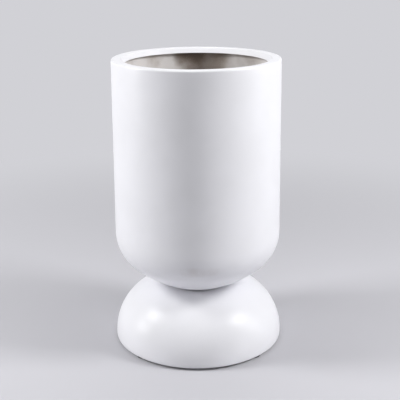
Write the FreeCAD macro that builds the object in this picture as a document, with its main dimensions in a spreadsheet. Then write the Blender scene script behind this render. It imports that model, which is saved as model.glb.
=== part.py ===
"""Urn planter: a round pot on a hollow dome base, two mouldings bolted together at the neck.

Frame: millimetres, +Z up, origin on the ground under the middle of the base. The bolts stand at 90, 210 and
330 degrees from +X, the foot pads at 45, 135, 225 and 315 degrees.
"""

import FreeCAD, Part
import math
import os
import re

import Sketcher

# Driving sizes in millimetres: name, value, what it is.
SIZES = [
    # pot
    ("rim_radius", 178.0, "outside radius at the rim"),
    ("rim_width", 25.6, "width of the flat rim"),
    ("lip_depth", 11.5, "height of the returned lip inside the mouth"),
    ("pot_height", 494.8, "height of the pot alone, foot to rim"),
    ("pot_wall", 18.0, "thickness of the pot's side"),
    ("pot_floor", 20.0, "thickness of the pot's floor"),
    ("belly_radius", 181.7, "outside radius where the side turns under"),
    ("bowl_depth", 115.4, "height of the turned-under part"),
    ("turn_radius", 91.6, "radius of the turn below the belly"),
    ("sweep_radius", 283.0, "radius of the flatter sweep down to the foot"),
    ("foot_radius", 76.7, "radius of the pot's flat foot"),
    ("rim_outer_round", 4.0, "rounding of the rim's outside edge"),
    ("rim_inner_round", 3.0, "rounding of the rim's inside edge"),
    # base
    ("dome_lift", 5.3, "height of the dome's widest ring above its edge"),
    ("dome_round", 123.6, "radius of the dome's curve"),
    ("dome_ring", 64.2, "radius of the ring that the dome's curve turns about"),
    ("base_wall", 16.0, "thickness of the dome"),
    ("crown_floor", 18.0, "thickness of the crown under the pot"),
    ("edge_width", 30.0, "width of the bead round the base's lower edge"),
    ("edge_height", 12.0, "height of the bead at its inside"),
    ("edge_round", 2.5, "rounding of the base's lower edge"),
    # joint between the two
    ("gasket_thickness", 2.0, "thickness of the joint gasket"),
    ("gasket_radius", 62.0, "outside radius of the joint gasket"),
    ("gasket_bore", 20.0, "inside radius of the joint gasket"),
    ("bolt_circle", 44.0, "radius of the circle that the bolts stand on"),
    ("bolt_radius", 4.0, "radius of a bolt's shank"),
    ("bolt_end", 4.0, "length of a bolt below its nut"),
    ("hole_clearance", 0.5, "gap between a shank and its hole, all round"),
    ("hex_flats", 13.0, "bolt head and nut, across the flats"),
    ("head_height", 5.3, "height of a bolt's head"),
    ("nut_height", 8.0, "height of a nut"),
    ("washer_radius", 11.0, "outside radius of the washers"),
    ("load_washer", 1.6, "thickness of a steel washer"),
    ("seal_washer", 2.0, "thickness of a rubber washer"),
    ("ring_radius", 60.0, "outside radius of the backing ring"),
    ("ring_bore", 27.0, "inside radius of the backing ring"),
    ("ring_thickness", 3.0, "thickness of the backing ring"),
    # drain
    ("drain_bore", 13.0, "radius of the drain sleeve's bore"),
    ("sleeve_wall", 3.0, "thickness of the drain sleeve"),
    ("sleeve_gap", 0.5, "gap between the sleeve and its holes"),
    ("sleeve_end", 4.0, "length of the sleeve below its nut"),
    ("flange_radius", 24.0, "radius of the sleeve's flange"),
    ("flange_height", 3.0, "thickness of the sleeve's flange"),
    ("sleeve_seal", 2.0, "thickness of the ring under the flange"),
    ("sleeve_nut_flats", 44.0, "sleeve nut, across the flats"),
    ("sleeve_nut_height", 9.0, "height of the sleeve nut"),
    ("nut_gap", 0.1, "gap between a thread and its nut"),
    ("plug_gap", 0.3, "gap between the plug's stem and the bore"),
    ("plug_length", 18.0, "length of the plug's stem"),
    ("plug_taper", 1.2, "how much smaller the stem's radius is at its tip"),
    ("plug_head", 20.0, "radius of the plug's head"),
    ("plug_head_height", 4.5, "height of the plug's head"),
    ("tab_width", 26.0, "width of the plug's pull tab"),
    ("tab_height", 24.0, "height of the plug's pull tab above its head"),
    ("tab_thickness", 5.0, "thickness of the plug's pull tab"),
    ("tab_hole", 7.5, "radius of the hole in the pull tab"),
    # feet
    ("pad_height", 5.3, "height of a foot pad, the gap under the base"),
    ("pad_radius", 12.0, "radius of a foot pad"),
    ("pad_inset", 4.0, "least distance from a foot pad to the base's edge"),
    ("pad_bevel", 1.2, "bevel round a foot pad's lower edge"),
]
ALIASES = {alias for alias, _, _ in SIZES}

BOLT_ANGLES = (90, 210, 330)
PAD_ANGLES = (45, 135, 225, 315)

# Heights and radii that follow from the sizes.
DOME_CENTRE = "(pad_height + dome_lift)"
CROWN_TOP = f"({DOME_CENTRE} + dome_round)"
CROWN_UNDER = f"({CROWN_TOP} - crown_floor)"
EDGE_RADIUS = "(dome_ring + sqrt(dome_round ^ 2 - dome_lift ^ 2))"
FOOT = f"({CROWN_TOP} + gasket_thickness)"
FLOOR = f"({FOOT} + pot_floor)"
BELLY = f"({FOOT} + bowl_depth)"
RIM = f"({FOOT} + pot_height)"
LEDGE = f"({RIM} - lip_depth)"
LIP_RADIUS = "(rim_radius - rim_width)"
BOLT_HOLE = "(bolt_radius + hole_clearance)"
BOLT_SEAT = f"({FLOOR} + seal_washer + load_washer)"
RING_UNDER = f"({CROWN_UNDER} - ring_thickness)"
BOLT_LENGTH = f"({BOLT_SEAT} - {RING_UNDER} + nut_height + bolt_end)"
SLEEVE_RADIUS = "(drain_bore + sleeve_wall)"
SLEEVE_HOLE = f"({SLEEVE_RADIUS} + sleeve_gap)"
SLEEVE_SEAT = f"({FLOOR} + sleeve_seal)"
SLEEVE_TOP = f"({SLEEVE_SEAT} + flange_height)"
SLEEVE_FOOT = f"({CROWN_UNDER} - sleeve_nut_height - sleeve_end)"
PLUG_STEM = "(drain_bore - plug_gap)"
PAD_CIRCLE = f"({EDGE_RADIUS} - pad_inset - pad_radius)"

START, END, CENTRE = 1, 2, 3

doc = FreeCAD.newDocument("urn_planter")
sheet = doc.addObject("Spreadsheet::Sheet", "sizes")


def fill_sheet():
    """Writes one row for each size: what it is, its number, and the number's name."""
    for row, (alias, number, meaning) in enumerate(SIZES, start=1):
        sheet.set(f"A{row}", meaning)
        sheet.set(f"B{row}", str(number))
        sheet.setAlias(f"B{row}", alias)
    doc.recompute()


def bound(text):
    """The expression that an object is bound with: each size's name points at the sheet."""
    return re.sub(r"[a-z_]+", lambda m: f"sizes.{m[0]}" if m[0] in ALIASES else m[0], text)


def value(text):
    """The number that such an expression has now."""
    return float(sheet.evalExpression(bound(text)))


class Outline:
    """A closed outline in a sketch, drawn where it belongs and then held by constraints."""

    def __init__(self, body, name, plane="XZ_Plane", height=None):
        self.sketch = body.newObject("Sketcher::SketchObject", name)
        origin = next(f for f in body.Origin.OriginFeatures if f.Role == plane)
        self.sketch.AttachmentSupport = [(origin, "")]
        self.sketch.MapMode = "FlatFace"
        if height:
            self.sketch.setExpression(".AttachmentOffset.Base.z", bound(height))

    def line(self, start, end):
        return self.sketch.addGeometry(Part.LineSegment(vector(start), vector(end)))

    def arc(self, centre, radius, start, end):
        """An arc that runs counterclockwise between the directions of two points."""
        circle = Part.Circle(vector(centre), vector((0, 0), 1), radius)
        angles = [math.atan2(p[1] - centre[1], p[0] - centre[0]) for p in (start, end)]
        return self.sketch.addGeometry(Part.ArcOfCircle(circle, *angles))

    def circle(self, centre, radius):
        return self.sketch.addGeometry(Part.Circle(vector(centre), vector((0, 0), 1), radius))

    def hold(self, kind, *where):
        self.sketch.addConstraint(Sketcher.Constraint(kind, *where))

    def join(self, *corners):
        """Corners, each (one curve, its end, next curve, its end), or with "Tangent" added."""
        for first, first_end, then, then_end, *smooth in corners:
            kind = smooth[0] if smooth else "Coincident"
            self.hold(kind, first, first_end, then, then_end)

    def bind(self, kind, text, *where):
        index = self.sketch.addConstraint(Sketcher.Constraint(kind, *where, value(text)))
        self.sketch.setExpression(f"Constraints[{index}]", bound(text))

    def place(self, curve, end, across=None, up=None):
        """Holds a point at a distance across and up from the sketch's origin."""
        if across:
            self.bind("DistanceX", across, curve, end)
        if up:
            self.bind("DistanceY", up, curve, end)

    def on_axis(self, curve):
        """Holds both ends of a line on the sketch's vertical axis."""
        self.hold("PointOnObject", curve, START, -2)
        self.hold("PointOnObject", curve, END, -2)


def vector(point, height=0.0):
    return FreeCAD.Vector(point[0], point[1], height)


def new_body(name):
    body = doc.addObject("PartDesign::Body", name)
    body.Label = name
    return body


def feature(body, kind, name, **settings):
    """Adds a feature to a body and makes it the body's tip."""
    made = body.newObject(f"PartDesign::{kind}", name)
    for key, setting in settings.items():
        setattr(made, key, setting)
    body.Tip = made
    doc.recompute()
    return made


def turned(body, outline, name):
    axis = (outline.sketch, ["V_Axis"])
    return feature(body, "Revolution", name, Profile=outline.sketch, ReferenceAxis=axis, Angle=360)


def ring_edges(shape, radius, height):
    """Names of a shape's circular edges of that radius and height round the axis."""
    names = []
    for number, edge in enumerate(shape.Edges, start=1):
        curve = edge.Curve
        if not isinstance(curve, Part.Circle) or abs(curve.Radius - radius) > 0.01:
            continue
        if abs(curve.Center.z - height) < 0.01 and math.hypot(curve.Center.x, curve.Center.y) < 0.01:
            names.append(f"Edge{number}")
    return names


def rounded(body, name, radius, across, up):
    """Rounds the edge that runs round the axis at a distance across and up."""
    edges = ring_edges(body.Tip.Shape, value(across), value(up))
    fillet = feature(body, "Fillet", name, Base=(body.Tip, edges), Radius=value(radius))
    fillet.setExpression("Radius", bound(radius))


def bored(body, name, radius, across=None, angles=(0,)):
    """Cuts a round hole up through the body, on its axis or as a ring of holes."""
    outline = Outline(body, f"{name}_outline", "XY_Plane")
    centre = (0.0, value(across)) if across else (0.0, 0.0)
    ring = outline.circle(centre, value(radius))
    outline.bind("Radius", radius, ring)
    if across:
        outline.hold("PointOnObject", ring, CENTRE, -2)
        outline.place(ring, CENTRE, up=across)
    else:
        outline.hold("Coincident", ring, CENTRE, -1, START)
    before = body.Tip.Shape.Volume
    cut = feature(body, "Pocket", name, Profile=outline.sketch, Type="ThroughAll", Reversed=True)
    if cut.Shape.Volume >= before:
        raise RuntimeError(f"{name} cuts nothing")
    if len(angles) > 1:
        axis = (outline.sketch, ["N_Axis"])
        feature(body, "PolarPattern", f"{name}s", Originals=[cut], Axis=axis, Angle=360, Occurrences=len(angles))


def meeting(first, first_radius, second, second_radius):
    """The meeting point of two circles that lies to the left of the way from first to second."""
    gap = math.dist(first, second)
    along = (first_radius**2 - second_radius**2 + gap**2) / (2 * gap)
    aside = math.sqrt(first_radius**2 - along**2)
    ux, uy = (second[0] - first[0]) / gap, (second[1] - first[1]) / gap
    return (first[0] + along * ux - aside * uy, first[1] + along * uy + aside * ux)


def toward(point, other, distance):
    """The point at a distance from point, in the direction of other."""
    share = distance / math.dist(point, other)
    return (point[0] + share * (other[0] - point[0]), point[1] + share * (other[1] - point[1]))


def level_on(centre, radius, height):
    """The outer point at a height on a circle."""
    return (centre[0] + math.sqrt(radius**2 - (height - centre[1]) ** 2), height)


def make_pot():
    """Pot: straight side, turned-under bowl in two smooth arcs, returned lip at the mouth."""
    body = new_body("pot_shell")
    outline = Outline(body, "pot_outline")
    wall, turn_radius, sweep_radius = value("pot_wall"), value("turn_radius"), value("sweep_radius")
    lip, rim, ledge = value(LIP_RADIUS), value(RIM), value(LEDGE)
    rim_edge = (value("rim_radius"), rim)
    foot_edge = (value("foot_radius"), value(FOOT))
    turn = (value("belly_radius") - turn_radius, value(BELLY))
    sweep = meeting(foot_edge, sweep_radius, turn, sweep_radius - turn_radius)
    join = toward(turn, sweep, -turn_radius)
    inner_join = toward(turn, sweep, wall - turn_radius)
    lean = math.atan2(rim_edge[1] - turn[1], rim_edge[0] - turn[0])
    lean -= math.acos(turn_radius / math.dist(turn, rim_edge))
    out = (math.cos(lean), math.sin(lean))
    belly = (turn[0] + turn_radius * out[0], turn[1] + turn_radius * out[1])
    inner_belly = (belly[0] - wall * out[0], belly[1] - wall * out[1])
    inner_top = (inner_belly[0] - (ledge - inner_belly[1]) * math.tan(lean), ledge)
    inner_foot = level_on(sweep, sweep_radius - wall, value(FLOOR))

    top = outline.line((lip, rim), rim_edge)
    side = outline.line(rim_edge, belly)
    turned_under = outline.arc(turn, turn_radius, join, belly)
    swept = outline.arc(sweep, sweep_radius, foot_edge, join)
    foot = outline.line(foot_edge, (0, foot_edge[1]))
    axis = outline.line((0, foot_edge[1]), (0, inner_foot[1]))
    floor = outline.line((0, inner_foot[1]), inner_foot)
    inner_swept = outline.arc(sweep, sweep_radius - wall, inner_foot, inner_join)
    inner_turned = outline.arc(turn, turn_radius - wall, inner_join, inner_belly)
    inner_side = outline.line(inner_belly, inner_top)
    under_lip = outline.line(inner_top, (lip, ledge))
    lip_face = outline.line((lip, ledge), (lip, rim))

    outline.join(
        (top, END, side, START),
        (side, END, turned_under, END, "Tangent"),
        (turned_under, START, swept, END, "Tangent"),
        (swept, START, foot, START),
        (foot, END, axis, START),
        (axis, END, floor, START),
        (floor, END, inner_swept, START),
        (inner_swept, END, inner_turned, START, "Tangent"),
        (inner_turned, END, inner_side, START, "Tangent"),
        (inner_side, END, under_lip, START),
        (under_lip, END, lip_face, START),
        (lip_face, END, top, START),
        (turned_under, CENTRE, inner_turned, CENTRE),
        (swept, CENTRE, inner_swept, CENTRE),
    )
    for level in (top, foot, floor, under_lip):
        outline.hold("Horizontal", level)
    outline.hold("Vertical", lip_face)
    outline.hold("Parallel", side, inner_side)
    outline.on_axis(axis)
    outline.place(top, START, across=LIP_RADIUS)
    outline.place(top, END, across="rim_radius", up=RIM)
    outline.place(turned_under, CENTRE, across="belly_radius - turn_radius", up=BELLY)
    outline.place(foot, START, across="foot_radius", up=FOOT)
    outline.place(floor, START, up=FLOOR)
    outline.place(lip_face, START, up=LEDGE)
    outline.bind("Radius", "turn_radius", turned_under)
    outline.bind("Radius", "sweep_radius", swept)
    outline.bind("Radius", "turn_radius - pot_wall", inner_turned)

    turned(body, outline, "pot_turned")
    rounded(body, "rim_outer_edge", "rim_outer_round", "rim_radius", RIM)
    rounded(body, "rim_inner_edge", "rim_inner_round", LIP_RADIUS, RIM)
    bored(body, "pot_drain_hole", SLEEVE_HOLE)
    bored(body, "pot_bolt_hole", BOLT_HOLE, "bolt_circle", BOLT_ANGLES)
    return body


def make_base():
    """Base: hollow dome, flat crown, open below, with a bead inside its lower edge."""
    body = new_body("base_shell")
    outline = Outline(body, "base_outline")
    radius, wall = value("dome_round"), value("base_wall")
    centre = (value("dome_ring"), value(DOME_CENTRE))
    crown, under, edge = value(CROWN_TOP), value(CROWN_UNDER), value("pad_height")
    crown_edge = (centre[0], crown)
    rounding = value("edge_round")
    edge_centre = level_on(centre, radius - rounding, edge + rounding)
    dome_foot = toward(centre, edge_centre, radius)
    edge_foot = (edge_centre[0], edge)
    bead_low = (value(EDGE_RADIUS) - value("edge_width"), edge)
    bead_high = (bead_low[0], edge + value("edge_height"))
    inner_edge = level_on(centre, radius - wall, bead_high[1])
    inner_crown = level_on(centre, radius - wall, under)

    top = outline.line((0, crown), crown_edge)
    dome = outline.arc(centre, radius, dome_foot, crown_edge)
    lower_edge = outline.arc(edge_centre, rounding, edge_foot, dome_foot)
    bottom = outline.line(edge_foot, bead_low)
    bead = outline.line(bead_low, bead_high)
    bead_top = outline.line(bead_high, inner_edge)
    inner_dome = outline.arc(centre, radius - wall, inner_edge, inner_crown)
    inner_top = outline.line(inner_crown, (0, under))
    axis = outline.line((0, under), (0, crown))

    outline.join(
        (top, END, dome, END, "Tangent"),
        (dome, START, lower_edge, END, "Tangent"),
        (lower_edge, START, bottom, START, "Tangent"),
        (bottom, END, bead, START),
        (bead, END, bead_top, START),
        (bead_top, END, inner_dome, START),
        (inner_dome, END, inner_top, START),
        (inner_top, END, axis, START),
        (axis, END, top, START),
        (dome, CENTRE, inner_dome, CENTRE),
    )
    for level in (bottom, bead_top, inner_top):
        outline.hold("Horizontal", level)
    outline.hold("Vertical", bead)
    outline.on_axis(axis)
    outline.place(dome, CENTRE, across="dome_ring", up=DOME_CENTRE)
    outline.place(top, START, up=CROWN_TOP)
    outline.place(inner_top, END, up=CROWN_UNDER)
    outline.place(bead, START, across=f"{EDGE_RADIUS} - edge_width", up="pad_height")
    outline.place(bead, END, up="pad_height + edge_height")
    outline.bind("Radius", "dome_round - base_wall", inner_dome)
    outline.bind("Radius", "edge_round", lower_edge)

    turned(body, outline, "base_turned")
    bored(body, "crown_drain_hole", SLEEVE_HOLE)
    bored(body, "crown_bolt_hole", BOLT_HOLE, "bolt_circle", BOLT_ANGLES)
    return body


def make_flat_ring(name, outer, inner, under, thickness):
    """A flat ring with the bolt holes through it."""
    body = new_body(name)
    outline = Outline(body, f"{name}_outline", "XY_Plane", under)
    for radius in (outer, inner):
        ring = outline.circle((0, 0), value(radius))
        outline.hold("Coincident", ring, CENTRE, -1, START)
        outline.bind("Radius", radius, ring)
    pad = feature(body, "Pad", f"{name}_plate", Profile=outline.sketch, Length=value(thickness))
    pad.setExpression("Length", bound(thickness))
    bored(body, f"{name}_hole", BOLT_HOLE, "bolt_circle", BOLT_ANGLES)
    return body


def make_sleeve():
    """Drain sleeve: a flange on the pot's floor and a tube down through the crown."""
    body = new_body("drain_sleeve")
    outline = Outline(body, "sleeve_outline")
    corners = [
        ("drain_bore", SLEEVE_TOP),
        ("flange_radius", SLEEVE_TOP),
        ("flange_radius", SLEEVE_SEAT),
        (SLEEVE_RADIUS, SLEEVE_SEAT),
        (SLEEVE_RADIUS, SLEEVE_FOOT),
        ("drain_bore", SLEEVE_FOOT),
    ]
    draw_corners(outline, corners)
    turned(body, outline, "sleeve_turned")
    return body


def draw_corners(outline, corners):
    """Draws a closed outline of straight lines through corners given as (across, up)."""
    points = [(value(across), value(up)) for across, up in corners]
    lines = [outline.line(a, b) for a, b in zip(points, points[1:] + points[:1])]
    for line, following in zip(lines, lines[1:] + lines[:1]):
        outline.join((line, END, following, START))
    for line, (across, up) in zip(lines, corners):
        outline.place(line, START, across if value(across) else None, up)
        if not value(across):
            outline.hold("PointOnObject", line, START, -2)


def make_plug():
    """Drain plug: head on the sleeve's flange, tapered stem in its bore, a holed tab to pull."""
    body = new_body("drain_plug")
    outline = Outline(body, "plug_outline")
    head_top = f"({SLEEVE_TOP} + plug_head_height)"
    corners = [
        ("0", head_top),
        ("plug_head", head_top),
        ("plug_head", SLEEVE_TOP),
        (PLUG_STEM, SLEEVE_TOP),
        (f"({PLUG_STEM} - plug_taper)", f"({SLEEVE_TOP} - plug_length)"),
        ("0", f"({SLEEVE_TOP} - plug_length)"),
    ]
    draw_corners(outline, corners)
    turned(body, outline, "plug_turned")

    tab = Outline(body, "tab_outline")
    half, low = value("tab_width") / 2, value(head_top)
    eye_height = f"({head_top} + tab_height - tab_width / 2)"
    eye = value(eye_height)
    left = tab.line((-half, eye), (-half, low))
    foot = tab.line((-half, low), (half, low))
    right = tab.line((half, low), (half, eye))
    arch = tab.arc((0, eye), half, (half, eye), (-half, eye))
    hole = tab.circle((0, eye), value("tab_hole"))
    tab.join(
        (left, END, foot, START),
        (foot, END, right, START),
        (right, END, arch, START),
        (arch, END, left, START),
        (arch, CENTRE, hole, CENTRE),
    )
    tab.hold("Horizontal", foot)
    for side in (left, right):
        tab.hold("Vertical", side)
    for end in (START, END):
        tab.hold("Horizontal", arch, end, arch, CENTRE)
    tab.hold("PointOnObject", arch, CENTRE, -2)
    tab.place(foot, START, up=head_top)
    tab.place(arch, CENTRE, up=eye_height)
    tab.bind("Radius", "tab_width / 2", arch)
    tab.bind("Radius", "tab_hole", hole)
    pad = feature(body, "Pad", "pull_tab", Profile=tab.sketch, Midplane=True, Length=value("tab_thickness"))
    pad.setExpression("Length", bound("tab_thickness"))
    return body


def primitive(kind, **sizes):
    """A Part primitive with its sizes bound to the sheet."""
    made = doc.addObject(f"Part::{kind}", kind.lower())
    for key, text in sizes.items():
        made.setExpression(key, bound(text))
    return made


def combined(kind, base, tool):
    made = doc.addObject(f"Part::{kind}", kind.lower())
    made.Base, made.Tool = base, tool
    return made


def set_down(made, height, across=None, angle=0):
    """Places an object at a height, on the axis or on a circle round it."""
    made.setExpression(".Placement.Base.z", bound(height))
    if across:
        made.setExpression(".Placement.Base.x", bound(f"{across} * cos({angle})"))
        made.setExpression(".Placement.Base.y", bound(f"{across} * sin({angle})"))
    return made


def grouped(name, members):
    """Several separate solids in one node."""
    made = doc.addObject("Part::Compound", name)
    made.Label = name
    made.Links = members
    return made


def hexagon(flats, height):
    prism = primitive("Prism", Circumradius=f"{flats} / 2 / cos(30)", Height=height)
    prism.Polygon = 6
    return prism


def washer(outer, inner, thickness):
    disc = primitive("Cylinder", Radius=outer, Height=thickness)
    return combined("Cut", disc, primitive("Cylinder", Radius=inner, Height=thickness))


def make_bolt():
    """A bolt with its seat at height zero and its shank below."""
    shank = set_down(primitive("Cylinder", Radius="bolt_radius", Height=BOLT_LENGTH), f"-{BOLT_LENGTH}")
    return combined("Fuse", hexagon("hex_flats", "head_height"), shank)


def make_nut(flats, height, bore):
    return combined("Cut", hexagon(flats, height), primitive("Cylinder", Radius=bore, Height=height))


def make_pad():
    """A foot pad: a disc with its lower edge bevelled."""
    disc = primitive("Cylinder", Radius="pad_radius", Height="pad_height - pad_bevel")
    set_down(disc, "pad_bevel")
    bevel = primitive("Cone", Radius1="pad_radius - pad_bevel", Radius2="pad_radius", Height="pad_bevel")
    return combined("Fuse", disc, bevel)


def make_fasteners():
    """Bolts, washers and nuts, three of each, and the sleeve's nut and seal."""
    rows = [
        ("clamp_bolts", make_bolt, BOLT_SEAT),
        ("load_washers", lambda: washer("washer_radius", BOLT_HOLE, "load_washer"), f"({FLOOR} + seal_washer)"),
        ("seal_washers", lambda: washer("washer_radius", BOLT_HOLE, "seal_washer"), FLOOR),
        (
            "lock_nuts",
            lambda: make_nut("hex_flats", "nut_height", "(bolt_radius + nut_gap)"),
            f"({RING_UNDER} - nut_height)",
        ),
    ]
    groups = []
    for name, make, height in rows:
        members = [set_down(make(), height, "bolt_circle", angle) for angle in BOLT_ANGLES]
        groups.append(grouped(name, members))
    nut = make_nut("sleeve_nut_flats", "sleeve_nut_height", f"({SLEEVE_RADIUS} + nut_gap)")
    nut.Label = "sleeve_nut"
    set_down(nut, f"({CROWN_UNDER} - sleeve_nut_height)")
    seal = washer("flange_radius", SLEEVE_HOLE, "sleeve_seal")
    seal.Label = "sleeve_seal"
    set_down(seal, FLOOR)
    return groups + [nut, seal]


def make_pads():
    members = [set_down(make_pad(), "0", PAD_CIRCLE, angle) for angle in PAD_ANGLES]
    return grouped("foot_pads", members)


def check(parts):
    """Stops if anything failed to build."""
    doc.recompute()
    for made in doc.Objects:
        if {"Invalid", "Error"} & set(made.State):
            raise RuntimeError(f"{made.Label} did not build: {made.State}")
    for part in parts:
        if part.Shape.isNull() or not part.Shape.isValid():
            raise RuntimeError(f"{part.Label} has no valid shape")


def main():
    fill_sheet()
    parts = [
        make_pot(),
        make_base(),
        make_flat_ring("joint_gasket", "gasket_radius", "gasket_bore", CROWN_TOP, "gasket_thickness"),
        make_flat_ring("backing_ring", "ring_radius", "ring_bore", RING_UNDER, "ring_thickness"),
        make_sleeve(),
        make_plug(),
        *make_fasteners(),
        make_pads(),
    ]
    check(parts)
    os.makedirs("parts", exist_ok=True)
    for part in parts:
        part.Shape.exportStep(f"parts/{part.Label}.step")
        box = part.Shape.BoundBox
        print(f"{part.Label}: {len(part.Shape.Solids)} solids, {part.Shape.Volume / 1000:.1f} cm3, "
              f"z {box.ZMin:.2f} to {box.ZMax:.2f}, {box.XLength:.2f} wide")


main()
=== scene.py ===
"""Looks of the urn planter: painted mouldings, bare clay inside, rubber, steel, drain fittings, and the studio.

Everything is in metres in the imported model's frame: +Z up, the origin on the ground under the base's middle.
The pieces' sizes are in millimetres, as a maker gives them, and so are the sizes of marks and the depths of relief
in the finishes, whose places are in metres.
"""

import logging
import math
from collections.abc import Callable, Iterable
from dataclasses import dataclass, field
from enum import Enum
from functools import cached_property
from typing import Any

import bpy
import numpy as np
from mathutils import Matrix, Vector
from mathutils.kdtree import KDTree

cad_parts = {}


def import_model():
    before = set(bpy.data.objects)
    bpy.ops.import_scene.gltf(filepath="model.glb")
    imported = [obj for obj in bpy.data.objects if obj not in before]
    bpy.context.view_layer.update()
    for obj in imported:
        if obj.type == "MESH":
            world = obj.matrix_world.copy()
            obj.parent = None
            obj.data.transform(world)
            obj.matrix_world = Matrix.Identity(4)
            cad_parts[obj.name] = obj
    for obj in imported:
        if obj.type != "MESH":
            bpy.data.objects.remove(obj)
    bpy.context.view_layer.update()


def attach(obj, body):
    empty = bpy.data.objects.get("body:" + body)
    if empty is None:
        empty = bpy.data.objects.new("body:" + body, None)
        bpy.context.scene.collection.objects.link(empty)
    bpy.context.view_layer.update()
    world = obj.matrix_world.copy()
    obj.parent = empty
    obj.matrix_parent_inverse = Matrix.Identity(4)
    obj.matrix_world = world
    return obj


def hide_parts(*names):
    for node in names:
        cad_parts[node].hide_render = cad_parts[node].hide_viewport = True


log = logging.getLogger("urn_planter")

Point = tuple[float, float]
Colour = tuple[float, float, float]
RingSize = tuple[float, float, float, float]  # inner and outer radius, lower and upper face

MM = 0.001
RAW = "raw_clay"  # attribute that says how bare a moulding's skin is
BARE_SEAT = 0.9  # rawness of a bare face that another piece sits on, and that stays flat
NO_STEP = 1e9  # longest stretch between two stations where a line needs none in between
CORNER_SHARES = (0.25, 0.5, 0.75, 1.0)  # where the stations of a softened corner lie
SAME_RADIUS = 1e-9  # share by which two rings' radii may differ and still count as the same
WELD = 2e-6  # distance in metres within which a turned piece's vertices are one
ON_CREST = 0.02  # distance in millimetres from a thread's crest within which a vertex is on it
SMOOTH_ANGLE = 35.0  # edges sharper than this many degrees stay sharp
POLE = 0.001  # radius in millimetres at which a solid piece's outline starts and ends
HEX_TURN = 30.0  # half the angle between two sides of a hexagon


class Body(Enum):
    """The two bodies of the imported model."""

    PLANTER = "planter"
    PLUG = "plug"


class Cut(Enum):
    """What a cutter does to a piece."""

    AWAY = "DIFFERENCE"
    TO = "INTERSECT"
    JOIN = "UNION"


class Layer(Enum):
    """The surface texture that a displaced skin takes."""

    HAND_RUBBED = "hand_rubbed"
    TROWELLED = "trowelled"


# ------------------------------------------------------------------------------------------------- profiles


@dataclass(frozen=True)
class Station:
    """A point of a turned profile.

    Args:
        across: Distance from the axis.
        up: Height above the ground.
        raw: 0 where the skin is painted, 1 where it is bare.
    """

    across: float
    up: float
    raw: float = 0.0


class Profile:
    """The outline that a round piece is turned from, drawn from station to station."""

    def __init__(self) -> None:
        """Starts an empty outline."""
        self.stations: list[Station] = []

    def run(self, across: float, up: float, step: float = NO_STEP, raw: float = 0.0) -> "Profile":
        """Draws a straight line.

        Args:
            across: Distance of its end from the axis.
            up: Height of its end.
            step: Longest stretch between two stations.
            raw: How bare the skin is.

        Returns:
            The profile.
        """
        if self.stations:
            last = self.stations[-1]
            count = max(1, math.ceil(math.dist((last.across, last.up), (across, up)) / step))
            for i in range(1, count):
                share = i / count
                point = (last.across + share * (across - last.across), last.up + share * (up - last.up))
                self.stations.append(Station(*point, raw))
        self.stations.append(Station(across, up, raw))
        return self

    def arc(
        self, centre: Point, radius: float, start: float, end: float, step: float, raw: float = 0.0
    ) -> "Profile":
        """Draws an arc.

        Args:
            centre: Its centre, across and up.
            radius: Its radius.
            start: Where it starts, in degrees from straight out.
            end: Where it ends.
            step: Largest angle between two stations.
            raw: How bare the skin is.

        Returns:
            The profile.
        """
        count = max(1, math.ceil(abs(end - start) / step))
        for i in range(count + 1):
            turn = math.radians(start + (end - start) * i / count)
            point = (centre[0] + radius * math.cos(turn), centre[1] + radius * math.sin(turn))
            self.stations.append(Station(*point, raw))
        return self

    def corner(
        self, across: float, up: float, then: Point, soft: float, raw: float = 0.0, step: float = NO_STEP
    ) -> "Profile":
        """Draws a straight line to a softened corner.

        Args:
            across: Distance of the sharp corner from the axis.
            up: Height of the sharp corner.
            then: The point that the outline goes on towards.
            soft: How far before and after the corner the rounding reaches.
            raw: How bare the skin is.
            step: Longest stretch between two stations.

        Returns:
            The profile.
        """
        last = self.stations[-1]
        sharp = Vector((across, up))
        back = (Vector((last.across, last.up)) - sharp).normalized() * soft
        on = (Vector(then) - sharp).normalized() * soft
        self.run(*(sharp + back), step=step, raw=raw)
        for share in CORNER_SHARES:
            point = sharp + back * (1 - share) ** 2 + on * share**2
            self.stations.append(Station(point.x, point.y, raw))
        return self

    def corners(self, points: Iterable[Point], soft: float) -> "Profile":
        """Draws on through several softened corners and ends at the last point.

        Args:
            points: The corners, then the end.
            soft: How far before and after each corner the rounding reaches.

        Returns:
            The profile.
        """
        *turns, end = points
        for here, then in zip(turns, turns[1:] + [end]):
            self.corner(*here, then, soft)
        return self.run(*end)

    @staticmethod
    def ring(inner: float, outer: float, low: float, high: float, soft: float) -> "Profile":
        """A flat ring's outline with softened corners.

        Args:
            inner: Radius of its hole.
            outer: Its outer radius.
            low: Height of its lower face.
            high: Height of its upper face.
            soft: How far before and after each corner the rounding reaches.

        Returns:
            The profile.
        """
        middle = (inner, (low + high) / 2)
        section = [(inner, low), (outer, low), (outer, high), (inner, high), middle]
        return Profile().run(*middle).corners(section, soft)


# ------------------------------------------------------------------------------------------------- modelling


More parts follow.
